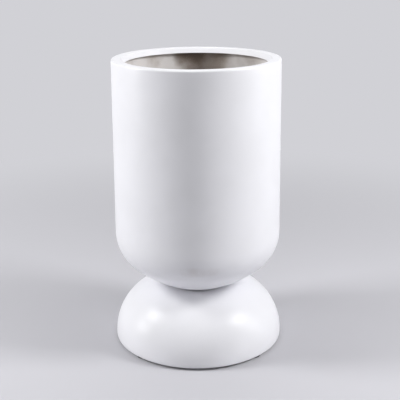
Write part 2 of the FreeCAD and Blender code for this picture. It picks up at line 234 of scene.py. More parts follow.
class Bench:
    """The hand tools: every new mesh is made and shaped here with operators."""

    @staticmethod
    def clear() -> None:
        """Leaves edit mode and deselects everything."""
        if bpy.context.object and bpy.context.object.mode != "OBJECT":
            bpy.ops.object.mode_set(mode="OBJECT")
        bpy.ops.object.select_all(action="DESELECT")

    @staticmethod
    def take(piece: bpy.types.Object) -> None:
        """Selects one piece alone and makes it active.

        Args:
            piece: The piece.
        """
        Bench.clear()
        piece.select_set(True)
        bpy.context.view_layer.objects.active = piece

    @staticmethod
    def settle(name: str) -> bpy.types.Object:
        """Names the active object and applies its place.

        Args:
            name: The piece's name.

        Returns:
            The piece, with its object at the origin.
        """
        piece = bpy.context.object
        piece.name = piece.data.name = name
        bpy.ops.object.transform_apply(location=True, rotation=True, scale=True)
        return piece

    @staticmethod
    def turn(name: str, profile: Profile, segments: int, centre: Point = (0.0, 0.0)) -> bpy.types.Object:
        """Turns a closed profile round the vertical axis, ring by ring.

        Args:
            name: The piece's name.
            profile: The outline, in millimetres.
            segments: Number of facets round the axis.
            centre: Where the axis stands, in millimetres.

        Returns:
            The turned piece.
        """
        Bench.clear()
        first, *rest = profile.stations
        x, y = centre[0] * MM, centre[1] * MM
        bpy.ops.mesh.primitive_circle_add(
            vertices=segments, radius=first.across * MM, fill_type="NOTHING", location=(x, y, first.up * MM)
        )
        piece = Bench.settle(name)
        bpy.ops.object.mode_set(mode="EDIT")
        bpy.ops.mesh.select_all(action="SELECT")
        last = first
        for station in rest:
            lift = (0.0, 0.0, (station.up - last.up) * MM)
            bpy.ops.mesh.extrude_region_move(TRANSFORM_OT_translate={"value": lift})
            scale = station.across / last.across
            if abs(scale - 1) > SAME_RADIUS:
                middle = (x, y, station.up * MM)
                bpy.ops.transform.resize(value=(scale, scale, 1.0), center_override=middle)
            last = station
        bpy.ops.mesh.select_all(action="SELECT")
        bpy.ops.mesh.remove_doubles(threshold=WELD)
        bpy.ops.mesh.normals_make_consistent(inside=False)
        bpy.ops.object.mode_set(mode="OBJECT")
        return piece

    @staticmethod
    def apply(piece: bpy.types.Object, kind: str, **settings: Any) -> None:
        """Adds a modifier to a piece and applies it.

        Args:
            piece: The piece.
            kind: The modifier's type.
            settings: The modifier's settings.
        """
        Bench.take(piece)
        modifier = piece.modifiers.new(kind.lower(), kind)
        for key, setting in settings.items():
            setattr(modifier, key, setting)
        bpy.ops.object.modifier_apply(modifier=modifier.name)

    @staticmethod
    def cut(piece: bpy.types.Object, tool: bpy.types.Object, cut: Cut) -> None:
        """Cuts a piece with another, or joins them, and removes the tool."""
        Bench.apply(piece, "BOOLEAN", object=tool, operation=cut.value, solver="EXACT")
        bpy.data.meshes.remove(tool.data)

    @staticmethod
    def rod(
        radius: float, low: float, high: float, centre: Point = (0.0, 0.0), sides: int = 64
    ) -> bpy.types.Object:
        """Adds an upright rod, or with six sides a hexagonal bar, as a cutting tool.

        Args:
            radius: Its radius to the corners.
            low: Height of its lower end.
            high: Height of its upper end.
            centre: Where its axis stands.
            sides: Number of sides.

        Returns:
            The rod.
        """
        Bench.clear()
        bpy.ops.mesh.primitive_cylinder_add(
            vertices=sides,
            radius=radius * MM,
            depth=(high - low) * MM,
            location=(centre[0] * MM, centre[1] * MM, (low + high) / 2 * MM),
            rotation=(0.0, 0.0, math.radians(HEX_TURN)),
        )
        return Bench.settle("tool")

    @staticmethod
    def smooth(piece: bpy.types.Object) -> None:
        """Shades a piece smooth but for its sharp edges."""
        Bench.take(piece)
        bpy.ops.object.shade_smooth_by_angle(angle=math.radians(SMOOTH_ANGLE))

    @staticmethod
    def join(name: str, members: list[bpy.types.Object]) -> bpy.types.Object:
        """Joins separate pieces into one object.

        Args:
            name: The group's name.
            members: The pieces.

        Returns:
            The group.
        """
        Bench.clear()
        for member in members:
            member.select_set(True)
        bpy.context.view_layer.objects.active = members[0]
        if len(members) > 1:
            bpy.ops.object.join()
        members[0].name = members[0].data.name = name
        return members[0]

    @staticmethod
    def copies(name: str, piece: bpy.types.Object, angles: Iterable[float]) -> bpy.types.Object:
        """Copies a piece round the axis and joins the copies.

        Args:
            name: The group's name.
            piece: The piece, modelled at its first place.
            angles: Turns from that place in degrees, the first of them 0.

        Returns:
            The group.
        """
        members = [piece]
        for angle in list(angles)[1:]:
            Bench.take(piece)
            bpy.ops.object.duplicate()
            copy = bpy.context.object
            copy.matrix_world = Matrix.Rotation(math.radians(angle), 4, "Z") @ copy.matrix_world
            bpy.ops.object.transform_apply(location=True, rotation=True, scale=True)
            members.append(copy)
        return Bench.join(name, members)

    @staticmethod
    def moved(piece: bpy.types.Object, change: Callable[[np.ndarray], np.ndarray]) -> None:
        """Moves a piece's vertices by a rule.

        Args:
            piece: The piece.
            change: Takes the places of all vertices, in metres, and gives the new ones.
        """
        mesh = piece.data
        places = np.empty(len(mesh.vertices) * 3)
        mesh.vertices.foreach_get("co", places)
        mesh.vertices.foreach_set("co", change(places.reshape(-1, 3)).ravel())
        mesh.update()

    @staticmethod
    def thread(
        piece: bpy.types.Object, centre: Point, radius: float, pitch: float, depth: float, span: Point
    ) -> None:
        """Cuts a screw thread into a turned piece's stations.

        Args:
            piece: The piece.
            centre: Where its axis stands.
            radius: Radius of the thread's crest.
            pitch: Height of a turn.
            depth: Depth of the groove.
            span: Heights of the thread's lower and upper ends.
        """

        def grooved(places: np.ndarray) -> np.ndarray:
            """Presses the groove into the crest.

            Args:
                places: The places of all vertices, in metres.

            Returns:
                The new places.
            """
            axis = np.array(centre) * MM
            out = places[:, :2] - axis
            reach = np.hypot(*out.T)
            height = places[:, 2] / MM
            turns = height / pitch - np.arctan2(out[:, 1], out[:, 0]) / (2 * math.pi)
            steepness, crest = 2.4, 0.7
            tooth = np.clip(steepness * np.abs((turns % 1) * 2 - 1) - crest, 0, 1)
            fade = np.clip(np.minimum(height - span[0], span[1] - height) / pitch, 0, 1)
            on_crest = np.abs(reach / MM - radius) < ON_CREST
            press = (1 - np.where(on_crest, depth * tooth * fade / radius, 0))[:, None]
            return np.column_stack([places[:, :2] * press + (1 - press) * axis, places[:, 2]])

        Bench.moved(piece, grooved)

    @staticmethod
    def record_raw(piece: bpy.types.Object, profile: Profile) -> None:
        """Writes how bare the skin is at each vertex, from the nearest station of the profile.

        Args:
            piece: The turned piece.
            profile: The outline that it was turned from.
        """
        tree = KDTree(len(profile.stations))
        for index, station in enumerate(profile.stations):
            tree.insert((station.across * MM, station.up * MM, 0.0), index)
        tree.balance()
        rawness = piece.data.attributes.new(RAW, "FLOAT", "POINT")
        for index, vertex in enumerate(piece.data.vertices):
            place = (math.hypot(vertex.co.x, vertex.co.y), vertex.co.z, 0.0)
            rawness.data[index].value = profile.stations[tree.find(place)[1]].raw

    @staticmethod
    def uneven(
        piece: bpy.types.Object, layer: Layer, size: float, depth: float, pick: Callable[[float], float]
    ) -> None:
        """Presses shallow unevenness into a skin, never standing proud of it.

        Args:
            piece: The piece, with its rawness recorded.
            layer: The kind of unevenness.
            size: Size of a bump in millimetres.
            depth: Greatest depth in millimetres.
            pick: Gives a vertex's share of the depth from its rawness.
        """
        texture = bpy.data.textures.new(layer.value, "CLOUDS")
        texture.noise_scale = size * MM
        texture.noise_depth = 2 if layer is Layer.TROWELLED else 0
        group = piece.vertex_groups.new(name=layer.value)
        for index, value in enumerate(piece.data.attributes[RAW].data):
            group.add([index], pick(value.value), "REPLACE")
        Bench.apply(
            piece,
            "DISPLACE",
            texture=texture,
            texture_coords="LOCAL",
            strength=depth * MM,
            mid_level=1.0,
            vertex_group=group.name,
        )


# ------------------------------------------------------------------------------------------------- shaders


class Value:
    """A number that varies over a surface, on which Python's sums make Math nodes."""

    def __init__(self, graph: "Graph", socket: bpy.types.NodeSocket) -> None:
        """Wraps an output socket of a graph."""
        self.graph = graph
        self.socket = socket

    def _math(self, operation: str, first: Any, second: Any) -> "Value":
        """Adds a Math node for two values or numbers."""
        node = self.graph.node("ShaderNodeMath", {"operation": operation}, {0: first, 1: second})
        return Value(self.graph, node.outputs[0])

    def __add__(self, other: Any) -> "Value":
        """Sum."""
        return self._math("ADD", self, other)

    def __sub__(self, other: Any) -> "Value":
        """Difference."""
        return self._math("SUBTRACT", self, other)

    def __rsub__(self, other: Any) -> "Value":
        """Difference from a number."""
        return self._math("SUBTRACT", other, self)

    def __mul__(self, other: Any) -> "Value":
        """Product."""
        return self._math("MULTIPLY", self, other)

    __radd__ = __add__
    __rmul__ = __mul__

    def root(self) -> "Value":
        """Square root."""
        return self._math("SQRT", self, 0.0)

    def ramp(self, low: float, high: float) -> "Value":
        """A smooth step from 0 to 1.

        Args:
            low: Where it is still 0.
            high: Where it reaches 1.

        Returns:
            The step.
        """
        settings = {"interpolation_type": "SMOOTHSTEP"}
        sockets = {"Value": self, "From Min": low, "From Max": high}
        return Value(self.graph, self.graph.node("ShaderNodeMapRange", settings, sockets).outputs[0])

    def near(self, middle: float) -> "Value":
        """The square of the distance from a middle."""
        away = self - middle
        return away * away


class Graph:
    """The nodes of a material or of the world, with what every finish needs."""

    def __init__(self, owner: bpy.types.Material | bpy.types.World) -> None:
        """Opens the nodes of a new material or world.

        Args:
            owner: The material or world.
        """
        self.owner = owner
        owner.use_nodes = True
        self.nodes = owner.node_tree.nodes
        self.links = owner.node_tree.links

    @cached_property
    def place(self) -> bpy.types.NodeSocket:
        """Where a point of the surface lies, in metres."""
        return self.node("ShaderNodeTexCoord").outputs["Object"]

    def axes(self) -> tuple[Value, Value, Value]:
        """The same place as three numbers, X, Y and Z."""
        split = self.node("ShaderNodeSeparateXYZ", None, {0: self.place}).outputs
        return Value(self, split[0]), Value(self, split[1]), Value(self, split[2])

    def seen(self) -> Value:
        """Tells where the camera, a reflection or a clear surface looks.

        Returns:
            1 there, and 0 for the light on its way.
        """
        path = self.node("ShaderNodeLightPath").outputs
        kinds = ("Camera", "Glossy", "Transmission")
        camera, glossy, clear = (Value(self, path[f"Is {kind} Ray"]) for kind in kinds)
        return camera + glossy + clear

    def show(self, share: Value, first: bpy.types.NodeSocket, second: bpy.types.NodeSocket) -> None:
        """Sends a mix of two shaders to the output.

        Args:
            share: The second shader's share, from 0 to 1.
            first: The shader where the share is 0.
            second: The shader where it is 1.
        """
        mix = self.node("ShaderNodeMixShader", None, {0: share, 1: first, 2: second})
        output = self.nodes.get("Material Output") or self.nodes["World Output"]
        self.fill(output, {"Surface": mix.outputs[0]})

    def node(
        self, kind: str, settings: dict[str, Any] | None = None, sockets: dict[Any, Any] | None = None
    ) -> bpy.types.Node:
        """Adds a node.

        Args:
            kind: The node's type.
            settings: Its own settings.
            sockets: Numbers, colours, sockets or values for its inputs.

        Returns:
            The node.
        """
        node = self.nodes.new(kind)
        for key, setting in (settings or {}).items():
            setattr(node, key, setting)
        self.fill(node, sockets or {})
        return node

    def fill(self, node: bpy.types.Node, sockets: dict[Any, Any]) -> None:
        """Sets or links a node's inputs.

        Args:
            node: The node.
            sockets: Numbers, colours, sockets or values for its inputs.
        """
        for key, given in sockets.items():
            if isinstance(given, Value):
                given = given.socket
            if isinstance(given, bpy.types.NodeSocket):
                self.links.new(given, node.inputs[key])
            else:
                node.inputs[key].default_value = given

    def noise(
        self,
        size: float,
        detail: float,
        stretch: tuple[float, float, float] = (1.0, 1.0, 1.0),
        rough: float = 0.5,
    ) -> Value:
        """Noise with marks of a size in millimetres, from 0 to 1.

        Args:
            size: Size of a mark.
            detail: Number of finer octaves.
            stretch: How much the marks are squeezed along X, Y and Z.
            rough: How strong the finer octaves are.

        Returns:
            The noise.
        """
        place = self.node("ShaderNodeMapping", None, {"Vector": self.place, "Scale": stretch}).outputs[0]
        sockets = {"Vector": place, "Scale": 1 / (size * MM), "Detail": detail, "Roughness": rough}
        return Value(self, self.node("ShaderNodeTexNoise", None, sockets).outputs["Fac"])

    def blend(self, share: Value, first: Any, second: Any) -> bpy.types.NodeSocket:
        """Mixes two colours.

        Args:
            share: The second colour's share, from 0 to 1.
            first: The colour where the share is 0.
            second: The colour where it is 1.

        Returns:
            The mixed colour.
        """
        node = self.node("ShaderNodeMix", {"data_type": "RGBA"}, {"Factor": share})
        self.fill(node, {6: first, 7: second})
        return node.outputs[2]

    def finish(
        self, colour: Any, roughness: Any, relief: Value | None, depth: float, **constants: float
    ) -> bpy.types.Material:
        """Connects the shader.

        Args:
            colour: Base colour.
            roughness: Roughness.
            relief: Height of the fine relief, from 0 to 1, or None.
            depth: Height of that relief in millimetres.
            constants: Other inputs of the shader, with spaces as underscores.

        Returns:
            The material.
        """
        shader = self.nodes["Principled BSDF"]
        self.fill(shader, {"Base Color": colour, "Roughness": roughness})
        self.fill(shader, {key.replace("_", " "): value for key, value in constants.items()})
        if relief is not None:
            sockets = {"Height": relief, "Distance": depth * MM, "Strength": 1.0}
            self.fill(shader, {"Normal": self.node("ShaderNodeBump", None, sockets).outputs[0]})
        return self.owner


def rgba(red: float, green: float, blue: float) -> tuple[float, float, float, float]:
    """A solid colour."""
    return (red, green, blue, 1.0)


@dataclass(frozen=True)
class StainAndShade:
    """A stain on the bare clay, which shows where its shares add up.

    Args:
        colour: Its colour.
        mottling: Share of the mottling noise.
        back: Share of the back wall's middle, which paints shade there.
        side: Share of the side towards +X, which paints shade there.
        rim: Share of the strip under the rim, which paints the lip's shadow there.
        span: The sums at which it starts and is full.
        strength: How far it covers the clay where it is full.
    """

    colour: Colour
    mottling: float
    back: float
    side: float
    rim: float
    span: Point
    strength: float = 0.9


@dataclass(frozen=True)
class MouldingFinish:
    """Satin white paint outside, bare fibre clay inside, with a ragged edge between them.

    Each span gives the two places between which a mark comes or goes, and each wander how far noise moves it.
    """

    name: str = "painted_fibre_clay"
    paint: Colour = (0.862, 0.862, 0.895)
    shade: Colour = (0.838, 0.838, 0.868)
    patch_span: Point = (0.35, 0.7)
    paint_roughness: float = 0.32
    shade_roughness: float = 0.05
    peel_height: float = 0.06
    # warm brown of the painted shade in the neck's crease and low on the front of the belly
    painted_shade: Colour = (0.42, 0.34, 0.29)
    shade_patchiness_span: Point = (0.2, 0.75)
    # painted shade in the crease between pot and base
    crease_height: float = 0.135
    crease_fall: float = 9000.0
    crease_span: Point = (0.074, 0.098)
    crease_painted_shade: float = 0.04
    # painted shade with a warm tint, low on the front of the bowl's underside, standing in for the floor's darker
    # reflection
    underside_shade_height: float = 0.219
    underside_shade_fall: float = 4200.0
    underside_shade_side_fall: float = 260.0
    underside_shade_span: Point = (-0.15, -0.12)
    underside_painted_shade: float = 0.20
    clay: Colour = (0.50, 0.465, 0.44)
    overspray: Colour = (0.76, 0.735, 0.725)
    clay_roughness: float = 0.92
    grain_span: Point = (0.55, 0.8)
    grain_overspray: float = 0.2
    # paler towards the rim: overspray, and painted light on the upper inner wall
    pale_and_lit_span: Point = (0.46, 0.60)
    pale_and_lit_wander: float = 0.12
    # painted shade on the middle of the back wall
    back_span: Point = (0.03, 0.15)
    back_wander: float = 0.06
    middle: float = 0.012
    middle_span: Point = (0.0001, 0.0060)
    # painted shadow of the lip on the strip under the rim at the back
    rim_span: Point = (0.600, 0.630)
    rim_wander: float = 0.02
    rim_back_span: Point = (0.02, 0.12)
    # painted shade towards +X
    side_span: Point = (-0.10, 0.16)
    upper_span: Point = (0.40, 0.56)
    upper_wander: float = 0.10
    right_span: Point = (0.055, 0.10)
    right_fade: float = 0.6
    # brown and damp stains, which on the back wall's middle, towards +X and under the rim also paint shade
    brown: StainAndShade = StainAndShade((0.34, 0.285, 0.245), 0.8, 0.32, 0.08, 0.10, (0.34, 0.76))
    damp_and_shade: StainAndShade = StainAndShade((0.150, 0.110, 0.085), 0.9, 0.28, 0.0, 0.08, (0.56, 0.84))
    edge_span: Point = (0.42, 0.58)
    edge_wander: float = 0.5
    relief: float = 0.6
    specular: float = 0.35

    def painted(self, graph: Graph, patches: Value) -> bpy.types.NodeSocket:
        """The paint's colour: faint patches, and warm brown painted shade in the crease of the neck and low on the
        front of the belly.

        Args:
            graph: The material's nodes.
            patches: Where the paint is a little duller.

        Returns:
            The colour.
        """
        x, y, z = graph.axes()
        reach = (x * x + y * y).root()
        # painted shade in the crease between pot and base, fading outwards
        crease = (1 - z.near(self.crease_height) * self.crease_fall).ramp(0.0, 1.0)
        crease = crease * (1 - reach.ramp(*self.crease_span))
        # painted shade low on the front of the bowl's underside, where the floor's darker reflection falls
        fall = z.near(self.underside_shade_height) * self.underside_shade_fall
        underside_shade = (1 - fall - x * x * self.underside_shade_side_fall).ramp(0.0, 1.0) * (1 - y.ramp(*self.underside_shade_span))
        shade_patchiness = graph.noise(size=30, detail=3).ramp(*self.shade_patchiness_span)
        paint = graph.blend(patches, rgba(*self.paint), rgba(*self.shade))
        # the painted shade, broken up by noise
        painted_shade = (crease * self.crease_painted_shade + underside_shade * self.underside_painted_shade) * shade_patchiness
        return graph.blend(painted_shade, paint, rgba(*self.painted_shade))

    def bare(self, graph: Graph, grains: Value) -> bpy.types.NodeSocket:
        """The clay's colour: paler towards the rim, from overspray and as painted light, mottled, and brown and
        damp in patches high on the back wall, which also paint shade on its middle and under the rim.

        Args:
            graph: The material's nodes.
            grains: The clay's grain.

        Returns:
            The colour.
        """
        x, y, z = graph.axes()
        blotches = graph.noise(size=60, detail=3, rough=0.55)
        patches = graph.noise(size=85, detail=3, rough=0.5)
        # painted shade on the middle of the back wall, between the reach of the two side lights
        back = (y + blotches * self.back_wander).ramp(*self.back_span)
        back = back * (1 - x.near(self.middle).ramp(*self.middle_span))
        # painted shadow of the lip on the strip under the rim at the back
        rim = (z + blotches * self.rim_wander).ramp(*self.rim_span) * y.ramp(*self.rim_back_span)
        # painted shade towards +X
        side = x.ramp(*self.side_span)
        upper = (z + patches * self.upper_wander).ramp(*self.upper_span)
        upper = upper * (1 - x.ramp(*self.right_span) * self.right_fade)
        # paler towards the rim: white overspray, and painted light where the lamps reach the upper inner wall
        pale = (z + patches * self.pale_and_lit_wander).ramp(*self.pale_and_lit_span)
        clay = graph.blend(pale, rgba(*self.clay), rgba(*self.overspray))
        # stains in the mottling, with painted shade where back, side and rim add to them
        for stain_and_shade, mottling in ((self.brown, blotches), (self.damp_and_shade, patches)):
            share = mottling * stain_and_shade.mottling + back * stain_and_shade.back + side * stain_and_shade.side + rim * stain_and_shade.rim
            clay = graph.blend(share.ramp(*stain_and_shade.span) * upper * stain_and_shade.strength, clay, rgba(*stain_and_shade.colour))
        return graph.blend(grains.ramp(*self.grain_span) * self.grain_overspray, clay, rgba(*self.overspray))

    def make(self) -> bpy.types.Material:
        """Makes the finish's nodes.

        Returns:
            The material.
        """
        graph = Graph(bpy.data.materials.new(self.name))
        rawness = Value(graph, graph.node("ShaderNodeAttribute", {"attribute_name": RAW}).outputs["Fac"])
        bare = (rawness + (graph.noise(size=4, detail=3) - 0.5) * self.edge_wander).ramp(*self.edge_span)
        patches = graph.noise(size=90, detail=2).ramp(*self.patch_span)
        peel = graph.noise(size=1.6, detail=1) * 0.35 + graph.noise(size=14, detail=2) * 0.65
        grains = graph.noise(size=2.2, detail=2)
        fibres = graph.noise(size=7, detail=3, stretch=(0.4, 0.4, 2.2), rough=0.7)
        colour = graph.blend(bare, self.painted(graph, patches), self.bare(graph, grains))
        paint_roughness = self.paint_roughness + patches * self.shade_roughness
        roughness = (1 - bare) * paint_roughness + bare * self.clay_roughness
        relief = (1 - bare) * peel * self.peel_height + bare * (grains * 0.35 + fibres * 0.65)
        return graph.finish(colour, roughness, relief, self.relief, Specular_IOR_Level=self.specular)


@dataclass(frozen=True)
class RubberFinish:
    """Moulded rubber: dark, dull, with dust in its fine grain."""

    name: str
    colour: Colour
    dust: Colour
    dust_span: Point = (0.5, 0.85)
    dust_share: float = 0.4
    roughness: float = 0.66
    dust_roughness: float = 0.2
    relief: float = 0.04

    def make(self) -> bpy.types.Material:
        """Makes the finish's nodes.

        Returns:
            The material.
        """
        graph = Graph(bpy.data.materials.new(self.name))
        dusty = graph.noise(size=9, detail=3).ramp(*self.dust_span)
        grain = graph.noise(size=0.7, detail=2)
        colour = graph.blend(dusty * self.dust_share, rgba(*self.colour), rgba(*self.dust))
        return graph.finish(colour, self.roughness + dusty * self.dust_roughness, grain, self.relief)


@dataclass(frozen=True)
class SteelFinish:
    """Stainless steel with fine turning marks and a little tarnish."""

    name: str = "stainless_steel"
    colour: Colour = (0.60, 0.59, 0.57)
    tarnish: Colour = (0.42, 0.39, 0.35)
    tarnish_span: Point = (0.5, 0.8)
    tarnish_share: float = 0.6
    roughness: float = 0.26
    mark_roughness: float = 0.16
    tarnish_roughness: float = 0.12
    relief: float = 0.02

    def make(self) -> bpy.types.Material:
        """Makes the finish's nodes.

        Returns:
            The material.
        """
        graph = Graph(bpy.data.materials.new(self.name))
        tarnished = graph.noise(size=11, detail=4).ramp(*self.tarnish_span)
        marks = graph.noise(size=3, detail=2, stretch=(1.0, 1.0, 9.0))
        colour = graph.blend(tarnished * self.tarnish_share, rgba(*self.colour), rgba(*self.tarnish))
        roughness = self.roughness + marks * self.mark_roughness + tarnished * self.tarnish_roughness
        return graph.finish(colour, roughness, marks, self.relief, Metallic=1.0)


@dataclass(frozen=True)
class PlasticFinish:
    """Injection-moulded plastic with a spark-eroded grain."""

    name: str = "drain_fitting_plastic"
    colour: Colour = (0.055, 0.056, 0.060)
    rubbed: Colour = (0.12, 0.12, 0.125)
    rubbed_span: Point = (0.55, 0.8)
    rubbed_share: float = 0.5
    roughness: float = 0.44
    grain_roughness: float = 0.12
    rubbed_roughness: float = 0.1
    relief: float = 0.03

    def make(self) -> bpy.types.Material:
        """Makes the finish's nodes.

        Returns:
            The material.
        """
        graph = Graph(bpy.data.materials.new(self.name))
        rubbed = graph.noise(size=16, detail=3).ramp(*self.rubbed_span)
        grain = graph.noise(size=0.9, detail=1)
        colour = graph.blend(rubbed * self.rubbed_share, rgba(*self.colour), rgba(*self.rubbed))
        roughness = self.roughness + grain * self.grain_roughness + rubbed * self.rubbed_roughness
        return graph.finish(colour, roughness, grain, self.relief)


# ------------------------------------------------------------------------------------------------- pieces


def place_piece(
    piece: bpy.types.Object, node: str, finish: bpy.types.Material, body: Body = Body.PLANTER
) -> None:
    """Puts a finished piece into the model in place of its plain node.

    Args:
        piece: The piece.
        node: The node that it stands for.
        finish: Its material.
        body: The body that it rides on.
    """
    piece.data.materials.clear()
    piece.data.materials.append(finish)
    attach(piece, body.value)
    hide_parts(node)
    log.info("%s: %d vertices, stands for %s", piece.name, len(piece.data.vertices), node)


def on_circle(radius: float, angle: float) -> Point:
    """The point on a circle round the axis at an angle in degrees."""
    return (radius * math.cos(math.radians(angle)), radius * math.sin(math.radians(angle)))


def hex_corner(flats: float) -> float:
    """The radius to the corners of a hexagon of a width across flats."""
    return flats / 2 / math.cos(math.radians(HEX_TURN))


BOLT_CIRCLE = 44.0  # radius of the circle that the bolts stand on
BOLT_ANGLES = (90.0, 210.0, 330.0)  # where on it they stand, in degrees from +X
BOLT_HOLE = 4.5  # radius of the holes that the bolts pass
SLEEVE_HOLE = 16.5  # radius of the hole that the drain's sleeve passes
CUT_PAST = 5.0  # how far a drill runs past both faces


def painted_share(raw: float) -> float:
    """How far a painted skin takes its unevenness: hardly at all on a bare seat."""
    return 1 - raw if raw < BARE_SEAT else 0


def bare_share(raw: float) -> float:
    """How far a bare skin takes its unevenness: not at all on a bare seat."""
    return raw if raw > BARE_SEAT else 0


def around(name: str, piece: bpy.types.Object) -> bpy.types.Object:
    """Copies what stands at the first bolt to the other two."""
    return Bench.copies(name, piece, [angle - BOLT_ANGLES[0] for angle in BOLT_ANGLES])


def drill_bolt_holes(piece: bpy.types.Object, low: float, high: float) -> None:
    """Drills the three bolt holes through a piece.

    Args:
        piece: The piece.
        low: Height of its lower face.
        high: Height of its upper face.
    """
    for angle in BOLT_ANGLES:
        drill = Bench.rod(BOLT_HOLE, low - CUT_PAST, high + CUT_PAST, on_circle(BOLT_CIRCLE, angle))
        Bench.cut(piece, drill, Cut.AWAY)


@dataclass
class Pot:
    """The pot: straight side, bowl turned under in two arcs, flat rim with a returned lip."""

    rim_radius: float = 178.0
    lip_radius: float = 152.4
    rim: float = 631.0
    ledge: float = 619.5
    outer_round: float = 4.0
    inner_round: float = 3.0
    draft: float = 2.0
    wall: float = 18.0
    lean: float = 0.559
    turn_centre: Point = (90.1, 251.6)
    turn_radius: float = 91.6
    sweep_centre: Point = (-35.54, 395.99)
    sweep_radius: float = 283.0
    foot_radius: float = 76.7
    foot: float = 136.2
    foot_soft: float = 1.4
    overspray: float = 12.0
    floor: float = 156.2
    flat_floor: float = 60.0
    ledge_gap: float = 0.02
    segments: int = 256
    hand_rubbed: Point = (70.0, 0.35)
    trowelled: Point = (26.0, 1.1)

    def profile(self) -> Profile:
        """Draws the pot's outline, from the drain hole out, up, over the rim and down inside.

        Returns:
            The closed outline.
        """
        (turn_x, turn_z), (sweep_x, sweep_z) = self.turn_centre, self.sweep_centre
        join = math.degrees(math.atan2(turn_z - sweep_z, turn_x - sweep_x))
        foot_turn = math.degrees(math.asin((self.foot - sweep_z) / self.sweep_radius))
        floor_turn = math.degrees(math.asin((self.floor - sweep_z) / (self.sweep_radius - self.wall)))
        side_top = self.rim - self.outer_round
        inner_turn = self.turn_radius - self.wall
        shrink = (self.ledge - turn_z) * math.tan(math.radians(self.lean))
        ledge_radius = turn_x + inner_turn - shrink + self.ledge_gap
        outline = Profile().run(SLEEVE_HOLE, self.foot, raw=BARE_SEAT)
        outline.run(self.foot_radius - self.overspray, self.foot, step=14, raw=BARE_SEAT)
        up_the_sweep = (self.foot_radius + 20, self.foot + 9.0)
        outline.corner(self.foot_radius, self.foot, up_the_sweep, self.foot_soft, step=4)
        outline.arc(self.sweep_centre, self.sweep_radius, foot_turn + 0.8, join, step=1.2)
        outline.arc(self.turn_centre, self.turn_radius, join + 2.0, self.lean, step=2.6)
        outline.run(self.rim_radius, side_top, step=11)
        outline.arc((self.rim_radius - self.outer_round, side_top), self.outer_round, 12, 90, step=13)
        outline.run(self.lip_radius + 12, self.rim, step=6)
        lip_foot = (self.lip_radius - self.draft, self.ledge)
        outline.corner(self.lip_radius + self.inner_round + self.draft, self.rim, lip_foot, 2.0)
        outline.corner(*lip_foot, (ledge_radius, self.ledge), 0.8, step=2.5)
        outline.corner(ledge_radius, self.ledge, (ledge_radius, self.floor), 0.8, raw=1, step=2.5)
        outline.run(turn_x + inner_turn, turn_z, step=11, raw=1)
        outline.arc(self.turn_centre, inner_turn, self.lean - 3, join, step=3.2, raw=1)
        inner_sweep = self.sweep_radius - self.wall
        outline.arc(self.sweep_centre, inner_sweep, join - 1.4, floor_turn, step=1.5, raw=1)
        outline.run(self.flat_floor, self.floor, step=12, raw=1)
        outline.run(SLEEVE_HOLE, self.floor, step=12, raw=BARE_SEAT)
        outline.run(SLEEVE_HOLE, self.foot, step=7, raw=BARE_SEAT)
        return outline

    def build(self, finish: bpy.types.Material) -> None:
        """Models the pot and dresses it.

        Args:
            finish: The mouldings' material.
        """
        outline = self.profile()
        piece = Bench.turn("pot", outline, self.segments)
        Bench.record_raw(piece, outline)
        Bench.uneven(piece, Layer.HAND_RUBBED, *self.hand_rubbed, painted_share)
        Bench.uneven(piece, Layer.TROWELLED, *self.trowelled, bare_share)
        drill_bolt_holes(piece, self.foot, self.floor)
        Bench.smooth(piece)
        place_piece(piece, "pot_shell", finish)


@dataclass
class Base:
    """The base: a hollow dome with a flat crown and a bead inside its lower edge."""

    ring: float = 64.2
    centre_height: float = 10.6
    dome_round: float = 123.6
    wall: float = 16.0
    crown: float = 134.2
    crown_under: float = 116.2
    edge: float = 5.3
    edge_radius: float = 187.69
    edge_round: float = 2.5
    bead_radius: float = 157.69
    bead_top: float = 17.3
    bead_soft: float = 1.0
    flat_crown: float = 62.0
    segments: int = 256
    hand_rubbed: Point = (60.0, 0.3)
    trowelled: Point = (24.0, 1.1)

    def profile(self) -> Profile:
        """Draws the base's outline, from the drain hole out, down the dome and back inside.

        Returns:
            The closed outline.
        """
        centre = (self.ring, self.centre_height)
        inner_round = self.dome_round - self.wall
        edge_centre = (self.edge_radius - self.edge_round, self.edge + self.edge_round)
        edge_turn = math.degrees(math.asin((edge_centre[1] - self.centre_height) / self.dome_round))
        bead_turn = math.degrees(math.asin((self.bead_top - self.centre_height) / inner_round))
        crown_turn = math.degrees(math.asin((self.crown_under - self.centre_height) / inner_round))
        outline = Profile().run(SLEEVE_HOLE, self.crown, raw=BARE_SEAT)
        outline.run(self.ring, self.crown, step=12)
        outline.arc(centre, self.dome_round, 87.5, edge_turn, step=2.5)
        outline.arc(edge_centre, self.edge_round, -15, -90, step=15)
        bead_corner = (self.bead_radius, self.bead_top)
        outline.corner(self.bead_radius, self.edge, bead_corner, self.bead_soft, raw=BARE_SEAT, step=7)
        bead_end = (self.ring + inner_round * math.cos(math.radians(bead_turn)), self.bead_top)
        outline.corner(*bead_corner, bead_end, self.bead_soft, raw=1, step=5)
        outline.run(*bead_end, step=5, raw=1)
        outline.arc(centre, inner_round, bead_turn + 2, crown_turn, step=3.0, raw=1)
        outline.run(self.flat_crown, self.crown_under, step=11, raw=1)
        outline.run(SLEEVE_HOLE, self.crown_under, step=11, raw=BARE_SEAT)
        outline.run(SLEEVE_HOLE, self.crown, step=6, raw=BARE_SEAT)
        return outline

    def build(self, finish: bpy.types.Material) -> None:
        """Models the base and dresses it.

        Args:
            finish: The mouldings' material.
        """
        outline = self.profile()
        piece = Bench.turn("base", outline, self.segments)
        Bench.record_raw(piece, outline)
        Bench.uneven(piece, Layer.HAND_RUBBED, *self.hand_rubbed, painted_share)
        Bench.uneven(piece, Layer.TROWELLED, *self.trowelled, bare_share)
        drill_bolt_holes(piece, self.crown_under, self.crown)
        Bench.smooth(piece)
        place_piece(piece, "base_shell", finish)


